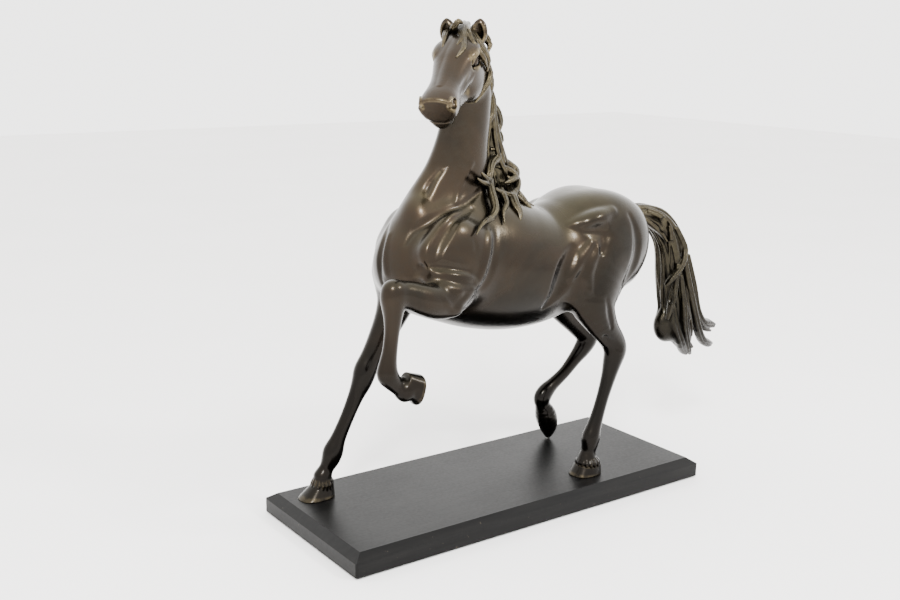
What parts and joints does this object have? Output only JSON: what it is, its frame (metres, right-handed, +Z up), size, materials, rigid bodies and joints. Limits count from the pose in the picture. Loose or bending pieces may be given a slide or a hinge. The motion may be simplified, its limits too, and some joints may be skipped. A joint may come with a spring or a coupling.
{
  "type": "bronze horse statuette",
  "caption": "Patinated bronze horse stepping with one foreleg raised and its head turned, standing on a bevelled black board.",
  "frame": {"origin": "middle of the felt underside, on the surface the statuette stands on", "axes": "+Z up; the board's long side lies along X and the horse walks towards -X, its left side towards -Y"},
  "size_m": [0.4932, 0.165, 0.452],
  "materials": {
    "ebonised_wood": "black satin lacquer",
    "felt": "dark felt",
    "bronze": "dark brown patina, waxed",
    "steel": "zinc plated"
  },
  "bodies": {
    "root": {"base_board": "ebonised_wood", "felt_sheet": "felt", "torso_casting": "bronze", "core_pin_plugs": "bronze", "core_window_patch": "bronze", "neck_casting": "bronze", "head_casting": "bronze", "forelock_casting": "bronze", "mane_casting": "bronze", "tail_casting": "bronze", "left_fore_upper_casting": "bronze", "left_fore_lower_casting": "bronze", "right_fore_upper_casting": "bronze", "right_fore_lower_casting": "bronze", "left_hind_upper_casting": "bronze", "left_hind_lower_casting": "bronze", "right_hind_upper_casting": "bronze", "right_hind_lower_casting": "bronze", "mounting_studs": "steel", "stud_washers": "steel", "stud_nuts": "steel", "toe_pin": "steel"}
  },
  "joints": []
}
